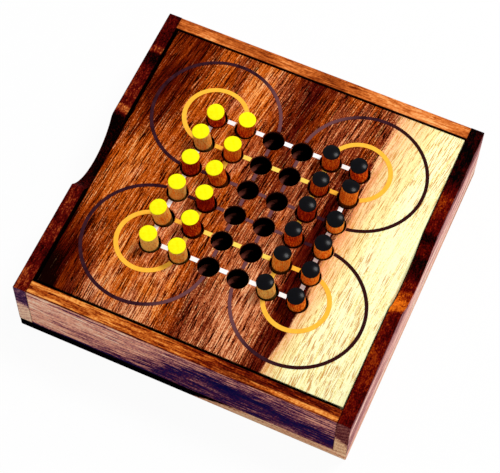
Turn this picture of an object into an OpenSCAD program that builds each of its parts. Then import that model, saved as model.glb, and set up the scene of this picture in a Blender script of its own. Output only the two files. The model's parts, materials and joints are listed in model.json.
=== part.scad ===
// Square wooden peg game: a box with a lift-out board of blind holes and loose dowel pegs.
// Origin at the middle of the underside, X to the right, Y to the back, Z up, in millimetres.

/* [Box] */
// Outside width, left to right
box_w = 150; // [140:1:220]
// Outside depth, front to back
box_d = 150; // [140:1:220]
// Height of the closed box, base included
box_h = 35; // [30:0.5:60]
// Thickness of the four walls
wall_t = 6; // [4:0.5:8]
// Thickness of the base panel
base_t = 6; // [3:0.5:10]

/* [Finger notches] */
// Length of each notch along the top of a side wall
notch_len = 38; // [24:1:60]
// Depth of each notch below the top of the wall
notch_depth = 10.5; // [5:0.5:14]
// How far the left notch sits in front of the middle
left_notch_forward = 2.5; // [-15:0.5:15]
// How far the right notch sits in front of the middle
right_notch_forward = 0; // [-15:0.5:15]

/* [Ledges] */
// Width of the two ledges that carry the board
ledge_w = 8; // [5:0.5:15]
// Height of each ledge
ledge_h = 6; // [4:0.5:10]

/* [Board] */
// Thickness of the board
board_t = 10; // [8:0.5:12]
// How far the top of the board lies below the walls
board_drop = 1; // [0:0.25:3]
// Gap between the board and the left wall
gap_left = 1.2; // [0.3:0.1:2]
// Gap between the board and the right wall
gap_right = 0.5; // [0.3:0.1:2]
// Gap between the board and the front wall
gap_front = 1.5; // [0.3:0.1:2]
// Gap between the board and the back wall
gap_back = 0.3; // [0.3:0.1:2]
// Distance between neighbouring holes
hole_pitch = 13.35; // [12:0.05:16]
// Wood left under each blind hole
hole_floor = 3; // [2:0.5:5]
// Chamfer that eases the rim of each hole
rim_ease = 0.3; // [0.1:0.1:0.6]

/* [Pegs] */
// Diameter of the dowel pegs
peg_dia = 7.5; // [5:0.1:9]
// Length of a peg
peg_len = 16; // [12:0.5:24]
// Play between a peg and its hole, all round
peg_play = 0.95; // [0.4:0.05:1.2]
// Chamfer on the ends of a peg
peg_chamfer = 0.4; // [0.1:0.1:0.8]
// Rise of the crowned paint on a black peg
crown_rise = 0.8; // [0.2:0.1:2]

/* [Painted tracks] */
// Width of the white and gold lines
track_w = 2; // [1:0.1:3]
// Width of the dark lines
dark_track_w = 1.5; // [1:0.1:3]
// Thickness of the paint
paint_t = 0.15; // [0.1:0.05:0.4]
// How far a gold loop swings past the holes that it joins
gold_reach = 0.4; // [0:0.1:1]
// How far a dark loop swings past the holes that it joins
dark_reach = 1.3; // [0:0.1:1.5]
// How far the middle of a dark loop lies outside its corner hole
dark_spread = 0.7; // [0:0.1:1.5]
// How far the white and gold print has slipped to the right of the holes
print_right = -0.8; // [-1:0.1:1]
// How far the white and gold print has slipped to the back of the holes
print_back = 0.6; // [-1:0.1:1]

/* [Hidden] */
$fn = 64;
cut = 1; // overshoot of cutting tools
peg_rest_gap = 0.05; // air under a standing peg
lean_spare = 0.2; // part of the play that a leaning peg leaves free

inner_w = box_w - 2 * wall_t;
inner_d = box_d - 2 * wall_t;
wall_h = box_h - base_t;

notch_r = ((notch_len / 2) ^ 2 + notch_depth ^ 2) / (2 * notch_depth);
notch_z = box_h - notch_depth + notch_r;

board_w = inner_w - gap_left - gap_right;
board_d = inner_d - gap_front - gap_back;
board_x = (gap_left - gap_right) / 2;
board_y = (gap_front - gap_back) / 2;
board_top = box_h - board_drop;
board_bottom = board_top - board_t;

hole_r = peg_dia / 2 + peg_play;
hole_depth = board_t - hole_floor;
hole_bottom = board_top - hole_depth;
rows = 6;
last = rows - 1;
side_cols = 2;
side_pegs = side_cols * rows;

peg_r = peg_dia / 2;
crown_r = (peg_r ^ 2 + crown_rise ^ 2) / (2 * crown_rise);
full_lean = atan(2 * (peg_play - lean_spare) / hole_depth);

// Lean of each peg as a share of the full lean, to the right and to the back,
// column by column from the left, each column from front to back
yellow_lean = [
    [-0.1, -0.2], [-0.7, -0.4], [0, 0], [0, 0], [-0.5, -0.15], [0.2, -0.95],
    [-0.15, -0.35], [-0.4, 0], [-0.3, 0], [-0.7, -0.4], [0.1, -0.1], [0.4, -0.1]
];
black_lean = [
    [-0.4, -0.25], [0.1, 0.45], [-0.1, 0], [0.2, -0.05], [0.35, -0.1], [-0.1, 0.15],
    [-0.15, -0.55], [0.15, -0.45], [0.1, -0.35], [0.2, -0.85], [0.1, 0.7], [-0.2, -0.4]
];

// Place of a hole's axis, column from the left and row from the front
function hole_x(col) = board_x + (col - last / 2) * hole_pitch;
function hole_y(row) = board_y + (row - last / 2) * hole_pitch;

module block(size_x, size_y, size_z, z) {
    translate([-size_x / 2, -size_y / 2, z])
        cube([size_x, size_y, size_z]);
}

module base_panel() {
    color("peru")
        block(box_w, box_d, base_t, 0);
}

// A wall along one side, with a round notch that lets a finger reach the edge of the board
module side_wall(side, notch_forward) {
    translate([side * (box_w - wall_t) / 2, 0, 0])
        difference() {
            block(wall_t, box_d, wall_h, base_t);
            translate([-wall_t / 2 - cut, -notch_forward, notch_z])
                rotate([0, 90, 0])
                    cylinder(h = wall_t + 2 * cut, r = notch_r, $fn = 128);
        }
}

module left_wall() {
    color("sienna")
        side_wall(-1, left_notch_forward);
}

module right_wall() {
    color("sienna")
        side_wall(1, right_notch_forward);
}

module end_wall(side) {
    translate([0, side * (box_d - wall_t) / 2, 0])
        block(inner_w, wall_t, wall_h, base_t);
}

module front_wall() {
    color("chocolate")
        end_wall(-1);
}

module back_wall() {
    color("chocolate")
        end_wall(1);
}

module ledge(side) {
    translate([0, side * (inner_d - ledge_w) / 2, 0])
        block(inner_w, ledge_w, ledge_h, board_bottom - ledge_h);
}

module front_ledge() {
    color("tan")
        ledge(-1);
}

module back_ledge() {
    color("tan")
        ledge(1);
}

// The drill that cuts one blind hole and eases its rim
module hole_drill() {
    cylinder(h = hole_depth + cut, r = hole_r);
    translate([0, 0, hole_depth - rim_ease])
        cylinder(h = rim_ease + cut, r1 = hole_r, r2 = hole_r + rim_ease + cut);
}

module game_board() {
    color("saddlebrown")
        difference() {
            translate([board_x, board_y, 0])
                block(board_w, board_d, board_t, board_bottom);
            for (col = [0:last], row = [0:last])
                translate([hole_x(col), hole_y(row), hole_bottom])
                    hole_drill();
        }
}

// Straight lines along the rows and columns that lie a given number of holes in from the edge
module track_lines(inset, w) {
    span = last * hole_pitch;
    for (k = [inset, last - inset]) {
        translate([hole_x(0), hole_y(k) - w / 2])
            square([span, w]);
        translate([hole_x(k) - w / 2, hole_y(0)])
            square([w, span]);
    }
}

// Three-quarter loops around the corner holes, joining the lines a given number of holes in
module track_loops(inset, w, reach, spread) {
    loop_r = inset * hole_pitch + reach;
    for (sx = [-1, 1], sy = [-1, 1])
        translate([(sx < 0 ? hole_x(0) : hole_x(last)) + sx * spread,
                (sy < 0 ? hole_y(0) : hole_y(last)) + sy * spread])
            difference() {
                circle(loop_r + w / 2, $fn = 128);
                circle(loop_r - w / 2, $fn = 128);
                translate([sx < 0 ? 0 : -loop_r - w, sy < 0 ? 0 : -loop_r - w])
                    square(loop_r + w);
            }
}

// A film of paint on the board, left open over the holes
module paint_film() {
    translate([0, 0, board_top])
        linear_extrude(paint_t)
            difference() {
                children();
                for (col = [0:last], row = [0:last])
                    translate([hole_x(col), hole_y(row)])
                        circle(hole_r + rim_ease);
            }
}

// Two of the three colours were printed a little out of line with the holes
module slipped_print() {
    translate([print_right, print_back])
        children();
}

module white_tracks() {
    color("white")
        paint_film()
            slipped_print()
                track_lines(0, track_w);
}

module gold_tracks() {
    color("orange")
        paint_film()
            slipped_print() {
                track_lines(1, track_w);
                track_loops(1, track_w, gold_reach, 0);
            }
}

module dark_tracks() {
    color("indigo")
        paint_film() {
            track_lines(2, dark_track_w);
            track_loops(2, dark_track_w, dark_reach, dark_spread);
        }
}

module yellow_peg_shape() {
    rotate_extrude()
        polygon([
            [0, 0],
            [peg_r - peg_chamfer, 0],
            [peg_r, peg_chamfer],
            [peg_r, peg_len - peg_chamfer],
            [peg_r - peg_chamfer, peg_len],
            [0, peg_len]
        ]);
}

module black_peg_shape() {
    rotate_extrude()
        difference() {
            intersection() {
                square([peg_r, peg_len]);
                union() {
                    square([peg_r, peg_len - crown_rise]);
                    translate([0, peg_len - crown_r])
                        circle(crown_r, $fn = 128);
                }
            }
            translate([peg_r, 0])
                rotate(45)
                    square(peg_chamfer * sqrt(2), center = true);
        }
}

// Stands a peg in a hole and leans it about the middle of the hole's depth
module stand_in_hole(col, row, lean) {
    right = lean[0] * full_lean;
    back = lean[1] * full_lean;
    tilt = acos(cos(right) * cos(back));
    lift = peg_rest_gap + peg_r * sin(tilt) + hole_depth / 2 * cos(tilt);
    translate([hole_x(col), hole_y(row), hole_bottom + lift])
        rotate([-back, right, 0])
            translate([0, 0, -hole_depth / 2])
                children();
}

module yellow_peg(i) {
    color("gold")
        stand_in_hole(floor(i / rows), i % rows, yellow_lean[i])
            yellow_peg_shape();
}

module black_peg(i) {
    color("dimgray")
        stand_in_hole(rows - side_cols + floor(i / rows), i % rows, black_lean[i])
            black_peg_shape();
}

base_panel();
left_wall();
right_wall();
front_wall();
back_wall();
front_ledge();
back_ledge();
game_board();
white_tracks();
gold_tracks();
dark_tracks();
for (i = [0:side_pegs - 1]) {
    yellow_peg(i);
    black_peg(i);
}
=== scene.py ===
import json
import math

import bmesh
import bpy
from mathutils import Matrix, Vector


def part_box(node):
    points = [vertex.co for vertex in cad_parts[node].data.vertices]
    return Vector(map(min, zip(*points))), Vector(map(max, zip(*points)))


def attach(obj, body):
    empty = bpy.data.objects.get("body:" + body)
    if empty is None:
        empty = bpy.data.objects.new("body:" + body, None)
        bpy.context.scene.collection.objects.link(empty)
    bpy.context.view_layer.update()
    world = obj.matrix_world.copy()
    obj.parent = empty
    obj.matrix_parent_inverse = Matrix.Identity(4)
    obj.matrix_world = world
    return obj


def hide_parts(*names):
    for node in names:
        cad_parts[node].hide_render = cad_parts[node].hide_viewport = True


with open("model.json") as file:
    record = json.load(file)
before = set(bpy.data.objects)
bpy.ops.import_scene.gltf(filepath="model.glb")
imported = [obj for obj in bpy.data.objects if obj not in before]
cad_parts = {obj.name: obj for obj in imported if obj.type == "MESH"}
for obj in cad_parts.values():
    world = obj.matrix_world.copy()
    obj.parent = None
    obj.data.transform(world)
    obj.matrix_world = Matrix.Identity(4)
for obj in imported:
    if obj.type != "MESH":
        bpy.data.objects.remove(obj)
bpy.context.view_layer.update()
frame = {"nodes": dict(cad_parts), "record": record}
nodes = frame["nodes"]
scene = bpy.context.scene
scene.view_settings.view_transform = "Standard"
mm = 0.001  # the scene is in metres, and looks are written in millimetres
hair = 1e-6  # places in the scene that are closer than this are the same
print("frame loaded:", len(nodes), "nodes")


def addObject(name, data):
    made = bpy.data.objects.new(name, data)
    scene.collection.objects.link(made)
    return made


def pieceName(node):  # base_panel becomes basePanel
    first, *others = node.split("_")
    return first + "".join(word.capitalize() for word in others)


# Camera

photoView = {
    "azimuth": 22.74,  # degrees to the right of straight on
    "elevation": 61.92,
    "roll": 1.63,
    "distance": 0.758,
    "aim": (-0.00342, 0.00396, 0.0),
    "lens": 124.24,
}


def makeCamera(view):
    azimuth, elevation, roll = (math.radians(view[key]) for key in ("azimuth", "elevation", "roll"))
    flat = math.cos(elevation)
    back = Vector((math.sin(azimuth) * flat, -math.cos(azimuth) * flat, math.sin(elevation)))
    right = Vector((0, 0, 1)).cross(back).normalized()
    up = back.cross(right)
    rolledRight = right * math.cos(roll) + up * math.sin(roll)
    rolledUp = up * math.cos(roll) - right * math.sin(roll)
    camera = addObject("photoCamera", bpy.data.cameras.new("photoCamera"))
    turn = Matrix((rolledRight, rolledUp, back)).transposed().to_4x4()
    camera.matrix_world = Matrix.Translation(Vector(view["aim"]) + back * view["distance"]) @ turn
    camera.data.lens = view["lens"]
    scene.camera = camera


makeCamera(photoView)


# Node helpers

noiseRange = (0.3, 0.7)  # where most values of a noise lie


def tone(red, green, blue):  # a colour as it looks on screen, 0 to 255, made linear
    levels = [level / 255 for level in (red, green, blue)]
    return [v / 12.92 if v <= 0.04045 else ((v + 0.055) / 1.055) ** 2.4 for v in levels] + [1.0]


def plug(socket, value):
    if isinstance(value, bpy.types.NodeSocket):
        socket.id_data.links.new(value, socket)
    else:
        socket.default_value = value


def addNode(tree, kind, inputs=None, **settings):
    node = tree.nodes.new(kind)
    for key, value in settings.items():
        setattr(node, key, value)
    for key, value in (inputs or {}).items():
        plug(node.inputs[key], value)
    return node


def linked(kind, inputs, **settings):  # a node in the tree of the sockets that feed it
    tree = next(value.id_data for value in inputs.values() if isinstance(value, bpy.types.NodeSocket))
    return addNode(tree, kind, inputs, **settings)


def calc(operation, *values):
    return linked("ShaderNodeMath", dict(enumerate(values)), operation=operation).outputs[0]


def times(first, second):
    return calc("MULTIPLY", first, second)


def minus(first, second):
    return calc("SUBTRACT", first, second)


def total(first, *others):
    for other in others:
        first = calc("ADD", first, other)
    return first


def gap(first, second):
    return calc("ABSOLUTE", minus(first, second))


def swing(value, amount):  # turns 0..1 into a push to either side
    return times(minus(value, 0.5), amount)


def vectorCalc(operation, *values):
    node = linked("ShaderNodeVectorMath", dict(enumerate(values)), operation=operation)
    return node.outputs["Value" if operation == "DOT_PRODUCT" else "Vector"]


def scaled(vector, factors):
    return vectorCalc("MULTIPLY", vector, factors)


def dot(first, second):
    return vectorCalc("DOT_PRODUCT", first, second)


def size(vector):
    return calc("POWER", dot(vector, vector), 0.5)


def split(vector):
    return linked("ShaderNodeSeparateXYZ", {0: vector}).outputs[:]


def join(x, y, z):
    return linked("ShaderNodeCombineXYZ", {0: x, 1: y, 2: z}).outputs[0]


def fade(value, low, high, start=0.0, end=1.0, smooth=True):
    inputs = {0: value, 1: low, 2: high, 3: start, 4: end}
    kind = "SMOOTHSTEP" if smooth else "LINEAR"
    return linked("ShaderNodeMapRange", inputs, interpolation_type=kind).outputs[0]


def noise(vector, detail=2.0, roughness=0.5):
    inputs = {"Vector": vector, "Scale": 1.0, "Detail": detail, "Roughness": roughness}
    return linked("ShaderNodeTexNoise", inputs).outputs["Fac"]


def evened(value):  # a noise spread over 0..1
    return fade(value, *noiseRange, smooth=False)


def blend(share, first, second):
    return linked("ShaderNodeMix", {0: share, 6: first, 7: second}, data_type="RGBA").outputs[2]


def ramp(value, stops, interpolation="LINEAR"):
    node = linked("ShaderNodeValToRGB", {0: value})
    node.color_ramp.interpolation = interpolation
    elements = node.color_ramp.elements
    for element, stop in zip((elements[0], elements[1]), (stops[0], stops[-1])):
        element.position, element.color = stop
    for place, colour in stops[1:-1]:
        elements.new(place).color = colour
    return node.outputs["Color"]


def tones(value, stops):  # a palette from dark to light
    return ramp(value, [(place, tone(*colour)) for place, colour in stops])


def bands(place, stops):  # light and dark along a line, with the stops in millimetres
    low, high = stops[0][0], stops[-1][0]
    share = fade(place, low, high, smooth=False)
    return ramp(share, [((at - low) / (high - low), (v, v, v, 1)) for at, v in stops], "EASE")


def newGroup(name, inputs, outputs):
    tree = bpy.data.node_groups.new(name, "ShaderNodeTree")
    for label, value in inputs.items():
        kind = "NodeSocketVector" if isinstance(value, tuple) else "NodeSocketFloat"
        tree.interface.new_socket(label, in_out="INPUT", socket_type=kind).default_value = value
    for label in outputs:
        tree.interface.new_socket(label, in_out="OUTPUT", socket_type="NodeSocketFloat")
    return tree, tree.nodes.new("NodeGroupInput").outputs, tree.nodes.new("NodeGroupOutput").inputs


def placeGroup(group, inputs):
    return linked("ShaderNodeGroup", inputs, node_tree=group).outputs


# Shared effects: grain, darkened edges (partly wear, partly painted shade) and worn paint, with pattern sizes
# in waves to a millimetre

grainPattern = {
    "seedStep": (17.3, 51.7, 7.9),  # millimetres that one seed moves the pattern
    "sway": (0.022, 0.007, 0.022), "clouds": (0.07, 0.025, 0.07),
    "speckLength": 1.7,  # times its width
    "poreEdge": (0.52, 0.62),
}
paintPattern = {
    "chips": (1.1, 0.7, 1.1), "chipLevel": 0.86, "chipEdge": 0.05, "wearReach": 0.3,
    "body": (0.6, 0.25, 0.6),
}


def makeGrainGroup(pattern):  # Place is in millimetres with the grain along its Y
    tree, given, out = newGroup(
        "woodGrain",
        {"Place": (0.0, 0.0, 0.0), "Wander": 4.0, "Streak Width": 1.2, "Streak Length": 30.0,
         "Pore Width": 0.5, "Pore Length": 7.0, "Speck Size": 0.7, "Seed": 0.0},
        ["Streaks", "Pores", "Clouds", "Specks"])
    offset = scaled(join(*[given["Seed"]] * 3), pattern["seedStep"])
    place = vectorCalc("ADD", given["Place"], offset)
    drift = noise(scaled(place, pattern["sway"]))
    x, y, z = split(place)
    swayed = total(x, swing(drift, times(given["Wander"], 2)))

    def stretched(width, length):
        return join(*(calc("DIVIDE", *pair) for pair in ((swayed, width), (y, length), (z, width))))

    streaks = noise(stretched(given["Streak Width"], given["Streak Length"]), 2.5, 0.6)
    pores = noise(stretched(given["Pore Width"], given["Pore Length"]), 2.0, 0.55)
    clouds = noise(scaled(place, pattern["clouds"]), 3.0, 0.55)
    speckLength = times(given["Speck Size"], pattern["speckLength"])
    specks = noise(stretched(given["Speck Size"], speckLength), 1.5, 0.5)
    plug(out["Streaks"], evened(streaks))
    plug(out["Pores"], fade(pores, *pattern["poreEdge"]))
    plug(out["Clouds"], evened(clouds))
    plug(out["Specks"], evened(specks))
    return tree


def makeEdgeGroup():  # how near a point is to an edge of its block, from 0 to 1
    tree, given, out = newGroup(
        "edgeWearAndShade",
        {"Place": (0.0, 0.0, 0.0), "Low": (0.0, 0.0, 0.0), "High": (1.0, 1.0, 1.0), "Width": 1.2},
        ["Mask"])
    fromLow = vectorCalc("SUBTRACT", given["Place"], given["Low"])
    fromHigh = vectorCalc("SUBTRACT", given["High"], given["Place"])
    x, y, z = split(vectorCalc("MINIMUM", fromLow, fromHigh))
    most = calc("MAXIMUM", calc("MAXIMUM", x, y), z)
    least = calc("MINIMUM", calc("MINIMUM", x, y), z)
    second = minus(minus(total(x, y, z), most), least)
    uneven = noise(given["Place"], 3.0, 0.6)
    ragged = total(second, swing(uneven, given["Width"]))
    plug(out["Mask"], fade(ragged, 0.0, given["Width"], 1.0, 0.0))
    return tree


def makePaintGroup(pattern):  # where paint has worn through, and how thick it lies
    tree, given, out = newGroup("wornPaint", {"Place": (0.0, 0.0, 0.0), "Wear": 0.3}, ["Worn", "Thickness"])
    chips = noise(scaled(given["Place"], pattern["chips"]), 4.0, 0.7)
    level = minus(pattern["chipLevel"], times(given["Wear"], pattern["wearReach"]))
    plug(out["Worn"], fade(chips, level, total(level, pattern["chipEdge"])))
    body = noise(scaled(given["Place"], pattern["body"]), 3.0, 0.6)
    plug(out["Thickness"], evened(body))
    return tree


grainGroup = makeGrainGroup(grainPattern)
edgeGroup = makeEdgeGroup()
paintGroup = makePaintGroup(paintPattern)


def newMaterial(name, specular):
    material = bpy.data.materials.new(name)
    material.use_nodes = True
    shader = material.node_tree.nodes["Principled BSDF"]
    shader.inputs["Specular IOR Level"].default_value = specular
    return material, material.node_tree, shader


def inMm(place):
    return scaled(place, (1 / mm, 1 / mm, 1 / mm))


def pieceMm(tree):
    return inMm(addNode(tree, "ShaderNodeTexCoord").outputs["Object"])


def alongGrain(place, grain):  # the same place with the grain turned to Y
    x, y, z = split(place)
    return join(*{"X": (y, x, z), "Y": (x, y, z), "Z": (x, z, y)}[grain])


def grained(grain, level, look, calm=1.0):  # a level with the marks of the grain on it
    streaks = times(calm, swing(grain["Streaks"], look["streak"]))
    specks = swing(grain["Specks"], look["specks"])
    clouds = swing(grain["Clouds"], look["cloud"])
    return total(level, streaks, specks, clouds, times(grain["Pores"], -look["pores"]))


def surface(shader, colour, height, look, rough):
    plug(shader.inputs["Base Color"], colour)
    plug(shader.inputs["Roughness"], rough)
    inputs = {"Strength": 0.5, "Distance": look["relief"] * mm, "Height": height}
    plug(shader.inputs["Normal"], linked("ShaderNodeBump", inputs).outputs["Normal"])


def woodSurface(shader, colour, grain, look):  # open pores between low ridges
    height = minus(times(grain["Streaks"], 0.4), grain["Pores"])
    surface(shader, colour, height, look, fade(grain["Streaks"], 0, 1, *look["rough"]))


print("shader groups ready")


# Studio: one broad lamp from the right, a white surround and a pale floor

studio = {
    "lampTurn": 54.0,  # degrees from the right towards the back
    "lampHeight": 60.0,
    "lampDistance": 1.3,
    "lampSize": 0.42,
    "lampLevel": 0.57,  # share of a plain exposure on a level surface
    "surround": 0.54,
    "floorTone": (236, 236, 236),
    "floorGlow": 0.95,  # how much of the floor is white whatever its shadow
    "floorReach": 4.0,
    "floorDrop": 0.0002,  # keeps the floor clear of the base panel
}


def seenDirectly(tree):  # camera, mirror and glass rays
    rays = addNode(tree, "ShaderNodeLightPath").outputs
    direct = total(*(rays[f"Is {kind} Ray"] for kind in ("Camera", "Glossy", "Transmission")))
    return calc("MINIMUM", direct, 1.0)


def makeLamp(look):
    turn, height = math.radians(look["lampTurn"]), math.radians(look["lampHeight"])
    flat = math.cos(height)
    towards = Vector((math.cos(turn) * flat, math.sin(turn) * flat, math.sin(height)))
    data = bpy.data.lights.new("studioLamp", "AREA")
    data.shape = "DISK"
    data.size = look["lampSize"]
    data.energy = look["lampLevel"] * math.pi ** 2 * look["lampDistance"] ** 2 / math.sin(height)
    aimed = towards.to_track_quat("Z", "Y").to_matrix().to_4x4()
    addObject("studioLamp", data).matrix_world = Matrix.Translation(towards * look["lampDistance"]) @ aimed


def makeSurround(look):
    world = bpy.data.worlds.new("studioSurround")
    world.use_nodes = True
    scene.world = world
    tree = world.node_tree
    level = fade(seenDirectly(tree), 0.0, 1.0, look["surround"], 1.0, smooth=False)
    plug(tree.nodes["Background"].inputs["Strength"], level)
    plug(tree.nodes["Background"].inputs["Color"], (1, 1, 1, 1))


def makeFloor(look):
    mesh = bpy.data.meshes.new("studioFloor")
    reach = look["floorReach"]
    corners = [(x * reach, y * reach, -look["floorDrop"]) for x, y in ((-1, -1), (1, -1), (1, 1), (-1, 1))]
    mesh.from_pydata(corners, [], [(0, 1, 2, 3)])
    material = bpy.data.materials.new("studioFloor")
    material.use_nodes = True
    tree = material.node_tree
    tree.nodes.remove(tree.nodes["Principled BSDF"])
    matte = addNode(tree, "ShaderNodeBsdfDiffuse", {"Color": tone(*look["floorTone"])})
    glow = addNode(tree, "ShaderNodeEmission", {"Color": (1, 1, 1, 1), "Strength": 1.0})
    share = times(seenDirectly(tree), look["floorGlow"])
    mixed = linked("ShaderNodeMixShader", {0: share, 1: matte.outputs[0], 2: glow.outputs[0]})
    plug(tree.nodes["Material Output"].inputs["Surface"], mixed.outputs[0])
    mesh.materials.append(material)
    addObject("studioFloor", mesh)


makeLamp(studio)
makeSurround(studio)
makeFloor(studio)
print("studio ready")


# The box: base panel, four walls and two ledges, as eased copies of the frame's solids

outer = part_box("base_panel")[1] / mm  # half the width and half the depth of the box
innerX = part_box("front_wall")[1].x / mm  # half the width between the side walls
innerY = -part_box("front_ledge")[0].y / mm  # half the depth between the end walls
wallFoot, wallTop = (corner.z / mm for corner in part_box("front_wall"))
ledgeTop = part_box("front_ledge")[1].z / mm
near = 0.05  # an edge this close to a plane lies in it

boxEase = {
    "edge": 0.5, "notchRim": 0.5, "backLip": 2.2, "frontLip": 0.5, "steps": 3,
    "rimStart": 0.3,  # the rim of a notch is eased from here below the top
    "notchReach": 40,  # both notches lie within this distance of the middle
    "flatAngle": 0.4, "sharpAngle": 20, "shadeAngle": 40,
}
sawn = {  # what all sawn wood shares, unless a piece says otherwise
    "specular": 0.003, "relief": 0.08, "rough": (0.6, 0.46), "specks": 0.2, "blur": 6.0, "edgeDark": 0.3,
    "edgeWidth": 0.6, "sizes": {}, "strips": [], "faces": [],
}
sawnSizes = {"Wander": 2.0, "Streak Width": 0.9, "Streak Length": 28.0, "Pore Width": 0.8, "Pore Length": 7.0,
             "Speck Size": 0.7}
sawnFace = {
    "specks": 0.2, "cloud": 0.15, "pores": 0.06, "blur": 30.0, "lines": [],
    "skin": (0.06, 0.2),  # the face's colour ends this far below it
    "archReach": 40.0, "lineRagged": 1.0, "ringSway": 3.0, "mottleSize": (0.5, 0.04, 0.5),
}


def archHeight(x, face):  # height of the arched line that a face's bands follow
    reach = face["archReach"]
    arch = bands(x, [(at, (height + reach) / (2 * reach)) for at, height in face["arch"]])
    return swing(arch, 2 * reach)


def thinLine(x, z, grain, face, line):  # a dark line along part of a face
    at, half, drop, start, end = line
    ragged = total(z, swing(grain["Streaks"], face["lineRagged"]))
    return times(fade(gap(ragged, at), 0.0, half, drop, 0.0), fade(x, start, end))


def growthRings(place, grain, face):
    centre, spacing, amount = face["rings"]
    radius = size(vectorCalc("SUBTRACT", place, centre))
    uneven = total(radius, swing(grain["Clouds"], face["ringSway"]))
    return times(calc("SINE", times(uneven, 2 * math.pi / spacing)), amount)


def faceTonesWithPaintedLight(place, grain, face):  # a face's colour, banded one way and changing the other way; besides the wood it holds painted light: a pale pinkish sheen on the outer faces and shade near the board on the inner faces
    x, _, z = split(place)
    across = total(dot(place, face["across"]), swing(grain["Streaks"], face["ragged"]))
    if "arch" in face:
        across = minus(across, archHeight(x, face))
    level = bands(across, face["start"])
    if "end" in face:
        along = total(dot(place, face["along"]), swing(grain["Clouds"], face["blur"]))
        level = blend(fade(along, *face["over"]), level, bands(across, face["end"]))
    for line in face["lines"]:
        level = minus(level, thinLine(x, z, grain, face, line))
    if "rings" in face:
        level = total(level, growthRings(place, grain, face))
    if "mottle" in face:  # long streaks along the grain
        patches = noise(scaled(place, face["mottleSize"]), 3.0, 0.6)
        level = total(level, swing(evened(patches), face["mottle"]))
    calm = fade(across, *face["calm"]) if "calm" in face else 1.0
    return tones(grained(grain, level, face, calm), face["tones"])


def sawnWood(name, node, ownLook):
    look = {**sawn, **ownLook}
    material, tree, shader = newMaterial(name, look["specular"])
    place = pieceMm(tree)
    sides = split(place)
    grain = placeGroup(grainGroup, {
        **sawnSizes, **look["sizes"], "Place": alongGrain(place, look["grain"]), "Seed": look["seed"]})
    along = sides["XY".index(look["grain"])]
    level = bands(total(along, swing(grain["Clouds"], look["blur"])), look["bands"])
    colour = tones(grained(grain, level, look), look["tones"])
    for strip in look["strips"]:  # a lighter or darker strip along part of a piece
        mask = 1.0
        for axis, low, high in strip["within"]:
            mask = times(mask, fade(sides[axis], low, high))
        colour = blend(mask, colour, tones(grained(grain, strip["level"], look), look["tones"]))
    # each face gets a palette of its own: on the outer faces the pale pinkish tones are partly a painted
    # grazing sheen, and on the inner faces the dark band near the board is painted shade
    for ownFace in look["faces"]:
        face = {**sawnFace, **ownFace}
        onFace = fade(gap(sides[face["axis"]], face["at"]), *face["skin"], 1.0, 0.0)
        colour = blend(onFace, colour, faceTonesWithPaintedLight(place, grain, face))
    low, high = (tuple(corner / mm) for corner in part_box(node))
    edge = placeGroup(edgeGroup, {"Place": place, "Low": low, "High": high, "Width": look["edgeWidth"]})
    # darkened edges of the block: partly wear, partly painted shade along the inner top edges beside the gap
    # by the board
    colour = blend(times(edge["Mask"], look["edgeDark"]), colour, tone(*look["edgeTone"]))
    woodSurface(shader, colour, grain, look)
    return material


endGrain = [(0.0, (34, 8, 50)), (0.25, (84, 44, 80)), (0.5, (164, 112, 118)), (0.75, (240, 188, 158)),
            (1.0, (255, 226, 190))]


def shadedInnerFace(axis, at, start, streak):  # the inside of a wall, darkened with painted shade near the top, where it faces the gap by the board
    return {
        "axis": axis, "at": at, "across": (0, 0, 1), "start": start, "ragged": 2, "streak": streak,
        "specks": 0.1,
        "tones": [(0.0, (3, 1, 1)), (0.25, (34, 10, 6)), (0.6, (112, 54, 30)), (1.0, (172, 110, 68))],
    }


basePanel = {
    "grain": "X", "seed": 1, "specular": 0.0, "streak": 0.5, "cloud": 0.15, "pores": 0.1,
    "edgeTone": (30, 14, 12), "edgeDark": 0.1,
    "bands": [(-75, 0.3), (-20, 0.4), (30, 0.5), (75, 0.45)],
    "tones": [(0.0, (52, 22, 12)), (0.4, (112, 62, 36)), (0.7, (168, 110, 70)), (1.0, (222, 176, 128))],
    "faces": [
        {"axis": 1, "at": -outer.y, "across": (0.28, 0, -1),
         "start": [(-1.5, 0.0), (0.2, 0.08), (1.1, 0.62), (4.0, 0.74)],
         "ragged": 1.2, "streak": 0.4, "specks": 0.3, "cloud": 0.2,
         "tones": [(0.0, (1, 1, 4)), (0.25, (5, 1, 4)), (0.45, (140, 74, 60)), (0.7, (246, 180, 138)),
                   (1.0, (255, 228, 184))]},
        {"axis": 0, "at": outer.x, "across": (0, 1, 0), "start": [(-75, 0.56), (0, 0.56), (75, 0.3)],
         "ragged": 4, "streak": 0.4,
         "tones": [(0.0, (150, 90, 70)), (0.5, (236, 176, 146)), (1.0, (255, 226, 200))]},
    ],
}
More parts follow.
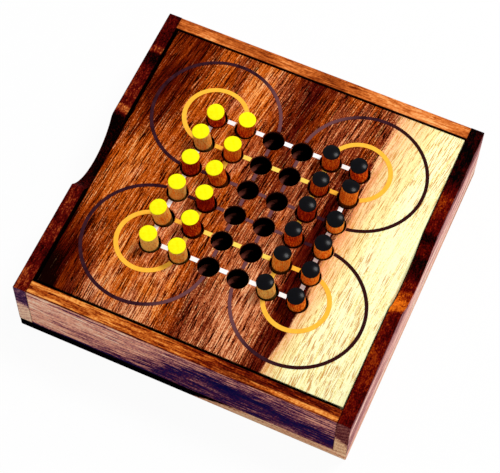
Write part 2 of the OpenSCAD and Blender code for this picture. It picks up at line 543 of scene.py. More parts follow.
leftWall = {
    "grain": "Y", "seed": 2, "streak": 0.34, "cloud": 0.3, "specks": 0.36, "pores": 0.12, "blur": 2.0,
    "sizes": {"Streak Width": 1.0, "Streak Length": 4.5, "Pore Width": 0.6, "Pore Length": 1.6,
              "Speck Size": 0.5},
    "edgeTone": (18, 2, 2),
    # bands along the wall: the near-black stretch from y -18 to 16 is painted shade where the board shades
    # the notch
    "bands": [(-75, 0.5), (-66, 0.5), (-60, 0.34), (-54, 0.2), (-50, 0.4), (-44, 0.44), (-37, 0.24),
              (-32, 0.4), (-22, 0.34), (-18, 0.16), (-10, 0.04), (16, 0.0), (18, 0.26), (19.5, 0.7),
              (22, 0.86), (24, 0.42), (31, 0.52), (38, 0.48), (44, 0.3), (49, 0.04), (52.5, 0.0), (54, 0.6),
              (56, 0.62), (57.5, 0.32), (75, 0.36)],
    "tones": [(0.0, (6, 1, 1)), (0.3, (66, 4, 3)), (0.5, (98, 14, 7)), (0.75, (164, 72, 28)),
              (1.0, (226, 146, 70))],
    "faces": [
        {"axis": 1, "at": -outer.y, "across": (-0.3, 0, -1),
         "start": [(-16, 0.32), (-2.5, 0.22), (0.5, 0.6), (3, 0.82), (24, 0.84)],
         "ragged": 1.5, "streak": 0.2, "specks": 0.3, "rings": ((-82.0, -75.0, 40.0), 2.6, 0.09),
         "tones": endGrain},
        {"axis": 1, "at": outer.y, "across": (-1, 0, -1.1),
         "start": [(36, 0.3), (44.5, 0.2), (50, 0.7), (64, 0.8)],
         "ragged": 3, "streak": 0.35, "rings": ((-82.0, 75.0, 40.0), 2.6, 0.08), "tones": endGrain},
        {"axis": 0, "at": -outer.x, "across": (0, 0.05, 1),
         "start": [(4, 0.5), (14, 0.36), (24, 0.46), (37, 0.3)],
         "ragged": 3, "streak": 0.4,
         "tones": [(0.0, (40, 10, 8)), (0.4, (96, 34, 22)), (0.7, (150, 80, 52)), (1.0, (206, 140, 100))]},
        shadedInnerFace(0, -innerX, [(6, 0.6), (24, 0.5), (30, 0.05), (36, 0.0)], 0.2),
    ],
}
rightWall = {
    "grain": "Y", "seed": 5, "streak": 0.36, "cloud": 0.34, "specks": 0.34, "pores": 0.12, "blur": 3.0,
    "sizes": {"Streak Width": 1.0, "Streak Length": 3.6, "Pore Width": 0.6, "Pore Length": 1.8,
              "Speck Size": 0.5},
    "edgeTone": (14, 2, 2),
    "bands": [(-75, 0.36), (-66, 0.46), (-60, 0.4), (-57, 0.56), (-42, 0.54), (-36, 0.44), (-25, 0.38),
              (-21.5, 0.4), (-19.5, 0.95), (-13, 0.9), (-7, 0.7), (-3, 0.44), (1, 0.34), (5, 0.2), (9, 0.1),
              (12, 0.34), (15, 0.36), (17.5, 0.1), (21, 0.42), (30, 0.5), (37, 0.54), (41, 0.34), (47, 0.1),
              (55, 0.1), (60, -0.06), (75, 0.0)],
    "tones": [(0.0, (2, 1, 1)), (0.3, (58, 2, 2)), (0.5, (98, 9, 3)), (0.75, (150, 54, 6)),
              (1.0, (226, 112, 20))],
    "faces": [
        {"axis": 1, "at": -outer.y, "across": (-0.7, 0, -1),
         "start": [(-88, 0.28), (-70, 0.24), (-67.5, 0.6), (-65, 0.78), (-50, 0.84)],
         "ragged": 1.5, "streak": 0.2, "specks": 0.3, "rings": ((64.0, -75.0, 44.0), 2.9, 0.07),
         "tones": [(0.0, (40, 6, 22)), (0.25, (96, 34, 40)), (0.5, (160, 98, 84)), (0.75, (240, 186, 140)),
                   (1.0, (255, 226, 180))]},
        {"axis": 1, "at": outer.y, "across": (-1, 0, -1.1),
         "start": [(-106, 0.36), (-88, 0.3), (-82, 0.8), (-75, 0.9)],
         "ragged": 2.5, "streak": 0.35, "rings": ((64.0, 75.0, 44.0), 2.4, 0.08), "tones": endGrain},
        {"axis": 0, "at": outer.x, "across": (0, 0.02, 1), "along": (0, 1, 0),
         "over": (-62, -28), "blur": 12.0,
         "start": [(4, 0.8), (8, 0.5), (14, 0.42), (20, 0.48), (26, 0.74), (30, 0.6), (33, 0.2), (37, 0.08)],
         "end": [(4, 0.95), (12, 0.82), (20, 0.72), (26, 0.52), (30, 0.28), (33, 0.12), (37, 0.06)],
         "ragged": 4, "streak": 0.4, "specks": 0.1, "cloud": 0.3, "mottle": 0.75,
         "tones": [(0.0, (84, 14, 10)), (0.3, (156, 100, 104)), (0.55, (216, 150, 144)),
                   (0.8, (252, 196, 180)), (1.0, (255, 236, 214))]},
        shadedInnerFace(0, innerX, [(6, 0.6), (24, 0.5), (30, 0.15), (36, 0.1)], 0.3),
    ],
}
frontWall = {
    "grain": "X", "seed": 9, "streak": 0.62, "cloud": 0.2, "specks": 0.3, "pores": 0.3,
    "sizes": {"Wander": 3.0, "Streak Width": 0.8, "Streak Length": 13.0, "Pore Width": 0.5,
              "Pore Length": 5.0, "Speck Size": 0.6},
    "edgeTone": (70, 14, 5),
    "bands": [(-69, 0.92), (-40, 0.86), (-5, 0.64), (8, 0.46), (20, 0.36), (32, 0.26), (45, 0.3), (69, 0.32)],
    "tones": [(0.0, (48, 3, 2)), (0.3, (106, 24, 5)), (0.55, (162, 68, 16)), (0.8, (212, 114, 40)),
              (1.0, (244, 162, 78))],
    "strips": [  # each lies within these limits across the wall's axes
        {"within": [(0, 10, 40), (1, -72.0, -73.0)], "level": 0.8},
        {"within": [(0, -20, -50), (1, -71, -70.2)], "level": 0.95},
        {"within": [(0, -30, -50), (1, -73.6, -72.6), (1, -70.6, -71.4)], "level": 0.6},
        {"within": [(1, -74.0, -74.6)], "level": 0.3},
    ],
    "faces": [
        {"axis": 1, "at": -outer.y, "across": (0, 0, 1), "along": (1, 0, 0), "over": (30, 50), "blur": 14.0,
         "arch": [(-75, -18), (-48, -8), (-27, 0), (-15, 7), (-4, 18), (6, 25), (14, 24.5), (22, 23),
                  (34, 22), (50, 19), (69, 15)],
         "start": [(-18, 0.26), (-8, 0.26), (-5, 0.16), (-1, 0.06), (2, 0.13), (5, 0.38), (9, 0.5),
                   (16, 0.66), (24, 0.72), (30, 0.82), (55, 0.88)],
         "end": [(-16, 0.56), (-9, 0.34), (-5, 0.2), (-2, 0.1), (2, 0.16), (5, 0.34), (10, 0.42), (22, 0.46)],
         "lines": [(32.6, 1.2, 0.36, 0, -30), (6.2, 1.4, 1.0, 0, -25)],
         "ragged": 5.5, "streak": 0.7, "calm": (8, 26, 1.0, 0.9), "specks": 0.3, "cloud": 0.24, "pores": 0.14,
         "tones": [(0.0, (4, 2, 60)), (0.14, (36, 8, 70)), (0.28, (84, 18, 46)), (0.44, (146, 86, 100)),
                   (0.62, (222, 146, 126)), (0.82, (252, 182, 148)), (1.0, (255, 222, 194))]},
        shadedInnerFace(1, -innerY, [(6, 0.7), (24, 0.6), (30, 0.15), (36, 0.1)], 0.3),
    ],
}
backWall = {
    "grain": "X", "seed": 12, "streak": 0.5, "cloud": 0.4, "specks": 0.26, "pores": 0.24, "blur": 18.0,
    "sizes": {"Wander": 3.0, "Streak Width": 0.9, "Streak Length": 10.0, "Pore Width": 0.5,
              "Pore Length": 5.0},
    "edgeTone": (110, 44, 16),
    "bands": [(-69, 0.46), (-45, 0.58), (-30, 0.5), (-18, 0.62), (0, 0.38), (12, 0.26), (22, 0.42),
              (36, 0.66), (48, 0.54), (58, 0.64), (69, 0.62)],
    "tones": [(0.0, (96, 28, 6)), (0.4, (172, 80, 26)), (0.7, (222, 122, 54)), (1.0, (252, 178, 108))],
    "faces": [
        {"axis": 1, "at": outer.y, "across": (-0.1, 0, 1), "along": (1, 0, 0), "over": (-60, 60),
         "start": [(-2, 0.5), (14, 0.62), (26, 0.5), (43, 0.6)],
         "end": [(-2, 0.7), (12, 0.56), (24, 0.7), (43, 0.6)], "ragged": 4, "streak": 0.45,
         "tones": [(0.0, (84, 40, 34)), (0.4, (150, 92, 70)), (0.7, (196, 138, 106)),
                   (1.0, (230, 186, 152))]},
        shadedInnerFace(1, innerY, [(6, 0.7), (24, 0.6), (30, 0.15), (36, 0.1)], 0.2),
    ],
}
ledges = {
    "grain": "X", "seed": 15, "streak": 0.4, "cloud": 0.15, "pores": 0.12, "edgeTone": (104, 62, 36),
    "bands": [(-69, 0.5), (69, 0.6)],
    "tones": [(0.0, (110, 64, 34)), (0.5, (178, 122, 74)), (1.0, (226, 180, 126))],
}


def atTop(p):
    return abs(p.z - wallTop) < near


def atSide(p):
    return abs(abs(p.x) - outer.x) < near


def atEnd(p):
    return abs(abs(p.y) - outer.y) < near


def sideways(edge):  # how far an edge runs from left to right
    return abs(edge.verts[0].co.x - edge.verts[1].co.x)


def onLip(p, edge):  # where a notch meets the top of its wall
    return atTop(p) and sideways(edge) > mm and abs(p.y) < boxEase["notchReach"]


def backLip(p, edge):
    return onLip(p, edge) and p.y > 0


def frontLip(p, edge):
    return onLip(p, edge) and p.y < 0


def sideWallEdge(p, edge):
    topSide = atTop(p) and atSide(p) and sideways(edge) < hair
    return topSide or (atTop(p) and atEnd(p)) or (atSide(p) and atEnd(p))


def notchRim(p, edge):
    inNotch = wallFoot + near < p.z < wallTop - boxEase["rimStart"] and abs(p.y) < boxEase["notchReach"]
    return inNotch and sideways(edge) < hair


def endWallEdge(p, edge):
    return atTop(p) and atEnd(p)


def baseEdge(p, edge):
    upright = atSide(p) and atEnd(p)
    return upright or (abs(p.z) < near and (atSide(p) or atEnd(p)))


def ledgeEdge(p, edge):
    return abs(p.z - ledgeTop) < near and abs(p.y) < innerY - near and abs(p.x) < near


def bakeModifiers(piece):
    graph = bpy.context.evaluated_depsgraph_get()
    finished = piece.evaluated_get(graph)
    mesh = bpy.data.meshes.new_from_object(finished, preserve_all_data_layers=True, depsgraph=graph)
    mesh.name = piece.name
    piece.modifiers.clear()
    piece.data = mesh


def makeEased(node, material, eases):
    mesh = nodes[node].data.copy()
    mesh.name = pieceName(node)
    bm = bmesh.new()
    bm.from_mesh(mesh)
    bmesh.ops.remove_doubles(bm, verts=bm.verts, dist=hair)
    flatTo, sharpFrom = math.radians(boxEase["flatAngle"]), math.radians(boxEase["sharpAngle"])
    bmesh.ops.dissolve_limit(bm, angle_limit=flatTo, verts=bm.verts, edges=bm.edges)
    for width, chosen in eases:
        sharp = [e for e in bm.edges if len(e.link_faces) == 2 and e.calc_face_angle() > sharpFrom]
        picked = [e for e in sharp if chosen((e.verts[0].co + e.verts[1].co) / 2 / mm, e)]
        bmesh.ops.bevel(bm, geom=picked, offset=width * mm, segments=boxEase["steps"], profile=0.5,
                        affect="EDGES", clamp_overlap=True)
    bmesh.ops.recalc_face_normals(bm, faces=bm.faces)
    bm.to_mesh(mesh)
    bm.free()
    mesh.attributes.remove(mesh.attributes["custom_normal"])  # the solid's own shading no longer fits
    mesh.materials.clear()
    mesh.materials.append(material)
    mesh.shade_smooth()
    mesh.set_sharp_from_angle(angle=math.radians(boxEase["shadeAngle"]))
    piece = addObject(pieceName(node), mesh)
    piece.modifiers.new("flatFaces", "WEIGHTED_NORMAL").keep_sharp = True
    bakeModifiers(piece)
    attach(piece, "box")
    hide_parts(node)


def makeBox():
    edge = boxEase["edge"]
    sideEases = [(boxEase["backLip"], backLip), (boxEase["frontLip"], frontLip), (edge, sideWallEdge),
                 (boxEase["notchRim"], notchRim)]
    pieces = {
        "base_panel": ("base_wood", basePanel, [(edge, baseEdge)]),
        "left_wall": ("left_wood", leftWall, sideEases),
        "right_wall": ("right_wood", rightWall, sideEases),
        "front_wall": ("front_wood", frontWall, [(edge, endWallEdge)]),
        "back_wall": ("back_wood", backWall, [(edge, endWallEdge)]),
        "front_ledge": ("ledge_wood", ledges, [(edge, ledgeEdge)]),
        "back_ledge": ("ledge_wood", ledges, [(edge, ledgeEdge)]),
    }
    woods = {}
    for node, (slotName, look, eases) in pieces.items():
        if slotName not in woods:  # the ledges share one
            woods[slotName] = sawnWood(pieceName(slotName), node, look)
        makeEased(node, woods[slotName], eases)
    print("box made: base, four walls, two ledges")


makeBox()


# The board: a slab drilled on a grid, half heartwood and half sapwood

board = {
    "specular": 0.001, "relief": 0.04, "rough": (0.58, 0.45), "ease": 0.3, "easeSteps": 2, "shadeAngle": 30,
    "grain": {"Wander": 1.5, "Streak Width": 0.42, "Streak Length": 16.0, "Pore Width": 0.38,
              "Pore Length": 6.5, "Speck Size": 0.45, "Seed": 4},
    "leanFrom": -68.0, "lean": (0.02, 0.00045),  # the grain leans more towards the back
    "wander": 3.0, "streak": 0.62, "specks": 0.34, "pores": 0.62, "cloud": 0.16, "light": 0.075,
    "stripes": (0.45, 0.018, 0.45), "broad": 0.26,  # long soft stripes
    "figure": [  # light and dark across the board, at the front, in the middle and at the back
        (-58, [(-68, 0.0), (-60, 0.08), (-53, 0.22), (-47, 0.68), (-42, 0.8), (-36, 0.68), (-30, 0.6),
               (-24, 0.78), (-18, 0.68), (-12, 0.45), (-6, 0.36), (0, 0.56), (7, 0.62), (12, 0.78),
               (18, 0.72), (22, 0.62), (26, 0.34), (29, 0.14), (33, 0.14), (68, 0.3)]),
        (-4, [(-68, 0.4), (-60, 0.68), (-54, 0.66), (-44, 0.52), (-30, 0.62), (-20, 0.58), (-12, 0.5),
              (0, 0.5), (12, 0.62), (19, 0.55), (25, 0.4), (27, 0.04), (33, 0.0), (36, 0.2), (68, 0.3)]),
        (56, [(-68, 0.24), (-60, 0.16), (-54, 0.1), (-48, 0.34), (-42, 0.56), (-31, 0.5), (-24, 0.7),
              (-18, 0.68), (-12, 0.46), (-6, 0.27), (0, 0.14), (6, 0.22), (14, 0.37), (24, 0.5), (30, 0.38),
              (35, 0.46), (68, 0.5)]),
    ],
    "smoke": [((-63, 36), (9, 26), 0.18), ((-70, -70), (18, 22), 0.2)],  # place, reach and darkness
    "smokeEdge": (0.4, 1.2), "smokeRagged": 1.0,
    "quiet": (0.05, 0.45, 0.4, 1.0),  # dark figure has a fainter grain
    "heartTones": [(0.0, (14, 1, 1)), (0.2, (76, 8, 4)), (0.4, (122, 42, 16)), (0.6, (166, 80, 40)),
                   (0.8, (218, 128, 80)), (1.0, (252, 190, 140))],
    "amber": (0.11, 0.035, 0.11), "amberEdge": (0.44, 0.64),
    "amberSide": (-0.0032, 0.001, 0.0),  # amber patches lie mostly left and back
    "amberTones": [(0.0, (18, 2, 1)), (0.2, (84, 13, 1)), (0.4, (130, 43, 3)), (0.6, (176, 72, 8)),
                   (0.8, (214, 104, 26)), (1.0, (248, 162, 86))],
    "sapEnds": (-60, 60), "sapStart": (33.5, 36.5), "sapFull": (43.0, 62.0),  # at the front and at the back
    "sapSway": 2.5, "sapFine": 0.75, "sapEdge": (0.02, 0.14),
    "sapTones": [(0.0, (226, 138, 92)), (0.18, (243, 178, 124)), (0.4, (248, 208, 150)),
                 (0.65, (250, 230, 162)), (0.85, (253, 241, 168)), (1.0, (255, 253, 200))],
    "lineTone": (222, 196, 96), "lines": (0.0, 0.36, 0.68, 0.0), "lineSpecks": 0.6,
    "dashTone": (204, 130, 40), "dashes": (0.44, 0.84, 0.0, 0.8), "dashClouds": 1.2, "dashFade": 0.25,
    "paleStreaks": 0.25,  # the brightest streaks are as pale as sapwood
    "paleSide": (66, 68), "unshadedTop": (0.8, 0.25), "unshadedFoot": (0.2, 0.05),  # the front, left and back sides are darkened with painted shade from the gaps
    "shadedSideTones": [(0.0, (2, 1, 1)), (0.4, (13, 5, 3)), (0.7, (32, 13, 8)), (1.0, (80, 40, 22))],
}
bore = {  # walls darkened with painted shade deeper in the bore, lighter at the rim, with a painted patch of light on the left of the floor
    "specular": 0.004, "relief": 0.1, "rough": (0.85, 0.7), "rings": (0.5, 0.5, 2.2), "ragged": 0.5,
    "rim": (0.3, 3.0, 0.8, 0.0), "floor": (0.3, 0.1),
    "dust": (-1.2, -3.4), "floorLightSlant": -0.25, "floorLightRagged": 4.0,
    "tones": [(0.0, (1, 0, 0)), (0.3, (5, 1, 1)), (0.6, (36, 12, 9)), (1.0, (112, 54, 42))],
}
drill = {
    "sides": 64,
    "spare": 2.0,  # how far the bit and the countersink stand above the board
    "reach": 1.2,  # the bores end within this many radii of the outer holes' axes
    "under": 0.2, "clear": 0.01,  # a bore is picked from below its floor up to just below its rim
}


def boardFigure(look, place, across, clouds):  # light and dark without the grain
    y = split(place)[1]
    (front, level), *others = [(at, bands(across, stops)) for at, stops in look["figure"]]
    for at, further in others:
        level = blend(fade(y, front, at), level, further)
        front = at
    for (cx, cy), (rx, ry), dark in look["smoke"]:
        apart = scaled(vectorCalc("SUBTRACT", place, (cx, cy, 0)), (1 / rx, 1 / ry, 0))
        ragged = total(size(apart), swing(clouds, look["smokeRagged"]))
        level = minus(level, fade(ragged, *look["smokeEdge"], dark, 0.0))
    return level


def heartwood(look, place, level):
    patches = noise(scaled(place, look["amber"]), 3.0, 0.6)
    amber = fade(total(patches, dot(place, look["amberSide"])), *look["amberEdge"])
    return blend(amber, tones(level, look["heartTones"]), tones(level, look["amberTones"]))


def sapwood(look, grain, share, fine, broad):  # pale, with olive lines and orange dashes
    sap = tones(total(share, times(fine, look["sapFine"]), broad), look["sapTones"])
    lines = total(grain["Streaks"], swing(grain["Specks"], look["lineSpecks"]))
    sap = blend(fade(lines, *look["lines"]), sap, tone(*look["lineTone"]))
    clouds = swing(grain["Clouds"], look["dashClouds"])
    dashes = total(grain["Pores"], clouds, times(share, -look["dashFade"]))
    return blend(fade(dashes, *look["dashes"]), sap, tone(*look["dashTone"]))


def boardWood(look):
    material, tree, shader = newMaterial("boardWood", look["specular"])
    place = pieceMm(tree)
    x, y, z = split(place)
    back = total(y, -look["leanFrom"])
    slant = times(back, total(times(back, look["lean"][1]), look["lean"][0]))
    leaning = join(minus(x, slant), y, z)
    grain = placeGroup(grainGroup, {"Place": leaning, **look["grain"]})
    across = total(x, swing(grain["Clouds"], look["wander"]))
    fine = total(swing(grain["Streaks"], look["streak"]), swing(grain["Specks"], look["specks"]))
    stripes = noise(scaled(leaning, look["stripes"]), 2.0, 0.55)
    broad = swing(evened(stripes), look["broad"])
    figure = boardFigure(look, place, across, grain["Clouds"])
    quiet = fade(figure, *look["quiet"])
    strokes = times(quiet, total(fine, times(grain["Pores"], -look["pores"])))
    level = total(figure, look["light"], strokes, broad, swing(grain["Clouds"], look["cloud"]))
    heart = heartwood(look, place, level)
    start, full = (fade(y, *look["sapEnds"], *look[key], smooth=False) for key in ("sapStart", "sapFull"))
    swayed = total(across, swing(grain["Clouds"], look["sapSway"]))
    share = fade(swayed, start, full, smooth=False)
    sap = sapwood(look, grain, share, fine, broad)
    pale = times(times(fine, quiet), look["paleStreaks"])
    colour = blend(fade(total(share, pale), *look["sapEdge"]), heart, sap)
    foot, top = (corner.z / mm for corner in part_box("game_board"))
    onTop = fade(z, *(top - down for down in look["unshadedTop"]))
    onFoot = fade(z, *(foot + up for up in look["unshadedFoot"]))
    # painted shade: the sides that sit in the gaps get dark tones; the top, the underside and the right side
    # keep the wood's colour
    unshaded = calc("MINIMUM", total(onTop, fade(x, *look["paleSide"]), onFoot), 1.0)
    colour = blend(unshaded, tones(level, look["shadedSideTones"]), colour)
    woodSurface(shader, colour, grain, look)
    return material


def drilledWood(look, depth, pitch, middle):
    material, tree, shader = newMaterial("drilledWood", look["specular"])
    place = pieceMm(tree)
    rings = noise(scaled(place, look["rings"]), 3.0, 0.6)
    x, y, z = split(place)

    def withinHole(value, at):  # place from the axis of the nearest hole
        return swing(calc("FRACT", calc("DIVIDE", minus(value, at), pitch)), pitch)

    slanted = times(withinHole(y, middle.y / mm), look["floorLightSlant"])
    leftwards = total(withinHole(x, middle.x / mm), slanted, swing(rings, look["floorLightRagged"]))
    down = minus(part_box("game_board")[1].z / mm, z)
    onFloor = fade(down, *(depth - skin for skin in look["floor"]))
    dust = times(onFloor, fade(leftwards, *look["dust"]))
    # painted shade darkening down the bore, and a painted pool of light on the left of each floor
    level = total(fade(down, *look["rim"]), dust, swing(rings, look["ragged"]))
    surface(shader, tones(level, look["tones"]), rings, look, fade(rings, 0, 1, *look["rough"]))
    return material


def geometryTree(name, inputs):
    tree = bpy.data.node_groups.new(name, "GeometryNodeTree")
    tree.interface.new_socket("Geometry", in_out="INPUT", socket_type="NodeSocketGeometry")
    for label, kind in inputs.items():
        tree.interface.new_socket(label, in_out="INPUT", socket_type="NodeSocket" + kind)
    tree.interface.new_socket("Geometry", in_out="OUTPUT", socket_type="NodeSocketGeometry")
    return tree, tree.nodes.new("NodeGroupInput").outputs, tree.nodes.new("NodeGroupOutput").inputs


def geometry(kind, inputs, **settings):  # a geometry node's first output
    return linked("GeometryNode" + kind, inputs, **settings).outputs[0]


def runTree(piece, tree, values):
    modifier = piece.modifiers.new(tree.name, "NODES")
    modifier.node_group = tree
    sockets = {item.name: item.identifier for item in tree.interface.items_tree if item.in_out == "INPUT"}
    for label, value in values.items():
        modifier[sockets[label]] = value
    bakeModifiers(piece)


def inBores(tree, given, span, look):  # picks the faces of the bores, below their eased rims
    where = split(addNode(tree, "GeometryNodeInputPosition").outputs[0])
    middle = split(given["Centre"])
    reach = total(times(span, 0.5), times(given["Radius"], look["reach"]))
    inside = [calc("LESS_THAN", gap(where[i], middle[i]), reach) for i in (0, 1)]
    floor = minus(middle[2], total(given["Depth"], look["under"] * mm))
    rim = minus(middle[2], total(given["Ease"], look["clear"] * mm))
    deep = times(calc("GREATER_THAN", where[2], floor), calc("LESS_THAN", where[2], rim))
    return times(times(*inside), deep)


def makeDrillTree(look):
    tree, given, out = geometryTree("drilledGrid", {
        "Holes": "Int", "Pitch": "Float", "Radius": "Float", "Depth": "Float", "Ease": "Float",
        "Centre": "Vector", "Wood": "Material", "Bore": "Material"})
    count, radius, spare = given["Holes"], given["Radius"], look["spare"] * mm
    span = times(given["Pitch"], minus(count, 1))
    grid = geometry("MeshGrid", {"Size X": span, "Size Y": span, "Vertices X": count, "Vertices Y": count})
    axes = geometry("Transform", {"Geometry": grid, "Translation": given["Centre"]})
    bit = geometry("MeshCylinder", {
        "Vertices": look["sides"], "Radius": radius, "Depth": total(given["Depth"], spare)})
    bitLift = times(minus(spare, given["Depth"]), 0.5)
    sinkDepth = total(given["Ease"], spare)
    sink = geometry("MeshCone", {
        "Vertices": look["sides"], "Radius Top": total(radius, sinkDepth), "Radius Bottom": radius,
        "Depth": sinkDepth})
    solid = given["Geometry"]
    for tool, lift in ((bit, bitLift), (sink, times(given["Ease"], -1))):
        placed = geometry("Transform", {"Geometry": tool, "Translation": join(0.0, 0.0, lift)})
        spread = geometry("InstanceOnPoints", {"Points": axes, "Instance": placed})
        real = geometry("RealizeInstances", {0: spread})
        solid = geometry("MeshBoolean", {"Mesh 1": solid, "Mesh 2": real},
                         operation="DIFFERENCE", solver="EXACT")
    real = geometry("RealizeInstances", {0: solid})
    wood = geometry("SetMaterial", {"Geometry": real, "Material": given["Wood"]})
    inHole = inBores(tree, given, span, look)
    bored = geometry("SetMaterial", {"Geometry": wood, "Selection": inHole, "Material": given["Bore"]})
    plug(out["Geometry"], bored)
    return tree


def holeGrid():  # spacing, radius, floor and rim of the holes, read from the frame
    openings = {opening["name"]: opening["box_m"] for opening in frame["record"]["physics"]["openings"]}
    first, second = (openings[name][0] for name in ("empty_hole_3_1", "empty_hole_3_2"))
    pitch = second[1] - first[1]
    corners = [v.co for v in nodes["game_board"].data.vertices]
    floor, rim, top = sorted({round(p.z, 6) for p in corners})[1:]
    edges = [p.x for p in corners if abs(p.z - floor) < hair]
    reach = max(edges) - min(edges)
    count = round(reach / pitch)
    radius = (reach - (count - 1) * pitch) / 2
    return {"Holes": count, "Pitch": pitch, "Radius": radius, "Depth": top - floor, "Ease": top - rim}


def makeBoard():
    low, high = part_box("game_board")
    grid = holeGrid()
    middle = (low + high) / 2
    bm = bmesh.new()
    stretch = Matrix.Diagonal((high - low).to_4d())
    bmesh.ops.create_cube(bm, size=1.0, matrix=Matrix.Translation(middle) @ stretch)
    upper = [e for e in bm.edges if all(abs(v.co.z - high.z) < hair for v in e.verts)]
    bmesh.ops.bevel(bm, geom=upper, offset=board["ease"] * mm, segments=board["easeSteps"], profile=0.5,
                    affect="EDGES")
    mesh = bpy.data.meshes.new("gameBoard")
    bm.to_mesh(mesh)
    bm.free()
    piece = addObject("gameBoard", mesh)
    runTree(piece, makeDrillTree(drill), {
        **grid, "Centre": (middle.x, middle.y, high.z), "Wood": boardWood(board),
        "Bore": drilledWood(bore, grid["Depth"] / mm, grid["Pitch"] / mm, middle)})
    piece.data.shade_smooth()
    piece.data.set_sharp_from_angle(angle=math.radians(board["shadeAngle"]))
    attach(piece, "board")
    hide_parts("game_board")
    print("board drilled:", len(piece.data.polygons), "faces")


makeBoard()


# The painted tracks keep the frame's films and get worn paint

trackFilm = {"specular": 0.02, "relief": 0.03, "rough": (0.6, 0.45)}
tracks = {
    "white_tracks": {"thick": (255, 255, 255), "thin": (250, 250, 248), "bare": (190, 150, 110),
                     "wear": 0.05},
    "gold_tracks": {"thick": (255, 194, 62), "thin": (250, 180, 54), "bare": (200, 120, 44), "wear": 0.15,
                    "middle": (253, 216, 92), "middleOver": (24, 14)},
    "dark_tracks": {"thick": (34, 8, 18), "thin": (62, 28, 38), "bare": (96, 44, 30), "wear": 0.2,
                    "middle": (106, 64, 68), "middleOver": (26, 12), "onPale": (46, 12, 12),
                    "paleOver": (34, 42)},
}


def trackPaint(name, look):
    material, tree, shader = newMaterial(name, trackFilm["specular"])
    place = pieceMm(tree)
    x = split(place)[0]
    paint = placeGroup(paintGroup, {"Place": place, "Wear": look["wear"]})
    colour = blend(paint["Thickness"], tone(*look["thin"]), tone(*look["thick"]))
    if "middle" in look:  # the lines between the pegs are lighter
        inMiddle = fade(calc("ABSOLUTE", x), *look["middleOver"])
        colour = blend(inMiddle, colour, tone(*look["middle"]))
    if "onPale" in look:  # the ink looks darker where it lies on sapwood
        colour = blend(fade(x, *look["paleOver"]), colour, tone(*look["onPale"]))
    colour = blend(paint["Worn"], colour, tone(*look["bare"]))
    height = minus(paint["Thickness"], paint["Worn"])
    surface(shader, colour, height, trackFilm, fade(paint["Thickness"], 0, 1, *trackFilm["rough"]))
    return material


def paintTracks():
    for node, look in tracks.items():
        nodes[node].material_slots[0].material = trackPaint(node.split("_")[0] + "Track", look)
    print("tracks painted")


paintTracks()


# The pegs: turned dowels, one object to a body

yellowPegs = {
    "kind": "yellow", "firstSeed": 1, "crown": 0.12, "soft": 0.3, "paintDown": 0.3, "ragged": 0.25,
    "paint": [(0.0, (253, 240, 8)), (1.0, (255, 250, 24))], "gloss": (0.5, 0.42), "coat": 0.02,
    "tones": [1.0, 0.76, 0.8, 0.12, 0.84, 0.22, 0.84, 0.16, 0.06, 0.34, 0.46, 0.36],
}
blackPegs = {
    "kind": "black", "firstSeed": 21, "crown": 0.8, "soft": 0.6, "paintDown": 1.2, "ragged": 0.3,
    "paint": [(0.0, (0, 0, 1)), (1.0, (2, 2, 8))], "gloss": (0.34, 0.26), "coat": 0.14,
    "tones": [0.92, 0.68, 0.26, 0.22, 0.24, 0.38, 0.5, 0.58, 0.56, 0.64, 0.6, 0.28],
}
dowel = {  # what both kinds share
    "footEase": 0.4, "rings": 60, "sides": 40,
    "specular": 0.004, "relief": 0.08, "rough": (0.62, 0.5), "coatRoughness": 0.22,
    "grain": {"Wander": 1.0, "Streak Width": 0.6, "Streak Length": 4.0, "Pore Width": 0.4, "Pore Length": 1.6,
              "Speck Size": 0.45},
    "streak": 0.4, "specks": 0.36, "cloud": 0.24, "pores": 0.0,  # the pores have a tone of their own
    "tones": [(0.0, (124, 10, 4)), (0.25, (190, 50, 10)), (0.5, (248, 120, 26)), (0.75, (255, 166, 62)),
              (1.0, (255, 208, 106))],
    "poreTone": (150, 44, 10), "poreShare": 0.3,
    "footShadeTone": (14, 4, 2), "footShadeShare": 0.85, "footShadeHeight": (6.3, 6.9), "footShadeRagged": 0.5,
    "paintBlur": 0.06, "paintMove": (7.0, 3.0, 0.0), "brush": (0.9, 0.9, 0.9), "brushHeight": 0.6,
}


def pegMaterial(look, length):
    material, tree, shader = newMaterial(look["kind"] + "Peg", dowel["specular"])
    place = addNode(tree, "ShaderNodeAttribute", attribute_name="pegPlace").outputs["Vector"]
    shade, seed = (addNode(tree, "ShaderNodeAttribute", attribute_name=name).outputs["Fac"]
                   for name in ("pegTone", "pegSeed"))
    grain = placeGroup(grainGroup, {"Place": alongGrain(place, "Z"), "Seed": seed, **dowel["grain"]})
    height = split(place)[2]
    colour = tones(grained(grain, shade, dowel), dowel["tones"])
    colour = blend(times(grain["Pores"], dowel["poreShare"]), colour, tone(*dowel["poreTone"]))
    # painted shade: each dowel is darkened where it stands inside its hole
    footShadeEdge = total(height, swing(grain["Specks"], dowel["footShadeRagged"]))
    footShade = fade(footShadeEdge, *dowel["footShadeHeight"], dowel["footShadeShare"], 0.0)
    colour = blend(footShade, colour, tone(*dowel["footShadeTone"]))
    uneven = noise(vectorCalc("ADD", place, dowel["paintMove"]))
    ragged = total(height, swing(uneven, look["ragged"] * 2))
    paintFrom = length - look["paintDown"]
    painted = fade(ragged, paintFrom - dowel["paintBlur"], paintFrom + dowel["paintBlur"])
    brushed = noise(scaled(place, dowel["brush"]), 3.0, 0.55)
    colour = blend(painted, colour, tones(fade(brushed, *noiseRange), look["paint"]))
    bare = fade(grain["Streaks"], 0, 1, *dowel["rough"])
    rough = blend(painted, bare, fade(brushed, *noiseRange, *look["gloss"]))
    plug(shader.inputs["Coat Weight"], times(painted, look["coat"]))
    shader.inputs["Coat Roughness"].default_value = dowel["coatRoughness"]
    lines = times(minus(1.0, painted), minus(grain["Streaks"], grain["Pores"]))
    relief = total(lines, times(brushed, dowel["brushHeight"]))
    surface(shader, colour, relief, dowel, rough)
    return material


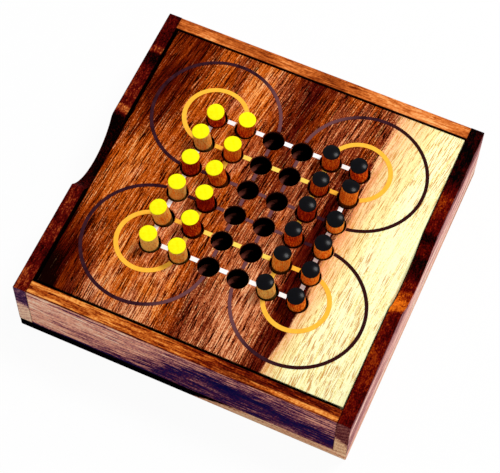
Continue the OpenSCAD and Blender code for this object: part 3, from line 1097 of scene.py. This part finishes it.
def turnedRadius(given, height):  # of a peg at a height above its foot
    radius, length, crown, soft = (given[key] for key in ("Radius", "Length", "Crown", "Soft"))
    foot = total(minus(radius, given["Foot Ease"]), height)
    square = total(times(radius, radius), times(crown, crown))
    ball = calc("DIVIDE", square, crown)  # width of the ball that the crown is cut from
    drop = calc("MAXIMUM", minus(length, height), 0.0)
    dome = calc("POWER", times(drop, minus(ball, drop)), 0.5)
    dome = total(dome, calc("GREATER_THAN", drop, crown))  # below the crown the straight side rules
    turned = calc("SMOOTH_MIN", calc("SMOOTH_MIN", radius, foot, soft), dome, soft)
    return calc("MAXIMUM", turned, 0.0)


def makePegTree(look):
    tree, given, out = geometryTree("turnedPeg", {
        "Radius": "Float", "Length": "Float", "Foot Ease": "Float", "Crown": "Float", "Soft": "Float",
        "Foot": "Vector", "Lean": "Vector", "Tone": "Float", "Seed": "Float", "Paint and Wood": "Material"})
    length = given["Length"]
    line = geometry("CurvePrimitiveLine", {"Start": (0, 0, 0), "End": join(0.0, 0.0, length)})
    rings = geometry("ResampleCurve", {"Curve": line, "Count": look["rings"]})
    share = addNode(tree, "GeometryNodeSplineParameter").outputs["Factor"]
    wave = times(calc("COSINE", times(share, math.pi)), -0.5)
    rise = times(length, total(wave, 0.5))  # rings lie closer together at the ends
    axis = geometry("SetPosition", {"Geometry": rings, "Position": join(0.0, 0.0, rise)})
    where = addNode(tree, "GeometryNodeInputPosition").outputs[0]
    width = turnedRadius(given, split(where)[2])
    ring = addNode(tree, "GeometryNodeCurvePrimitiveCircle", {"Resolution": look["sides"], "Radius": 1.0})
    skin = geometry("CurveToMesh", {
        "Curve": axis, "Profile Curve": ring.outputs[0], "Scale": width, "Fill Caps": True})
    solid = geometry("MergeByDistance", {"Geometry": skin, "Distance": hair})
    solid = geometry("StoreNamedAttribute", {"Geometry": solid, "Name": "pegPlace", "Value": inMm(where)},
                     data_type="FLOAT_VECTOR")
    for name, value in (("pegTone", given["Tone"]), ("pegSeed", given["Seed"])):
        solid = geometry("StoreNamedAttribute", {"Geometry": solid, "Name": name, "Value": value})
    turn = linked("FunctionNodeEulerToRotation", {0: given["Lean"]}).outputs[0]
    stood = geometry("Transform", {"Geometry": solid, "Translation": given["Foot"], "Rotation": turn})
    smooth = geometry("SetShadeSmooth", {"Geometry": stood})
    real = geometry("RealizeInstances", {0: smooth})
    coated = geometry("SetMaterial", {"Geometry": real, "Material": given["Paint and Wood"]})
    plug(out["Geometry"], coated)
    return tree


def pegFoot(node):  # middle of a peg's flat foot, its axis, length and radius, from the frame
    mesh = nodes[node].data
    flats = {}
    for face in mesh.polygons:
        if face.normal.z < -0.9:  # faces that look down
            key = tuple(round(n, 3) for n in face.normal)
            area, centre = flats.get(key, (0.0, Vector()))
            flats[key] = (area + face.area, centre + face.center * face.area)
    normal, (area, centre) = max(flats.items(), key=lambda flat: flat[1][0])
    foot, axis = centre / area, -Vector(normal).normalized()
    heights = [(v.co - foot).dot(axis) for v in mesh.vertices]
    radius = max((v.co - foot - axis * h).length for v, h in zip(mesh.vertices, heights))
    return foot, axis, max(heights), radius


def makePegs():
    tree = makePegTree(dowel)
    for look in (yellowPegs, blackPegs):
        slotName = look["kind"] + "_peg"
        material = None
        for i, shade in enumerate(look["tones"]):
            node = f"{slotName}_{i + 1}"
            foot, axis, length, radius = pegFoot(node)
            material = material or pegMaterial(look, length / mm)
            piece = addObject(pieceName(node), bpy.data.meshes.new("dowel"))
            runTree(piece, tree, {
                "Radius": radius, "Length": length, "Foot Ease": dowel["footEase"] * mm,
                "Crown": look["crown"] * mm, "Soft": look["soft"] * mm, "Foot": foot,
                "Tone": shade, "Seed": float(look["firstSeed"] + i),
                "Lean": Vector((0, 0, 1)).rotation_difference(axis).to_euler(), "Paint and Wood": material})
            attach(piece, node)
            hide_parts(node)
        print(look["kind"], "pegs turned:", len(look["tones"]))


makePegs()
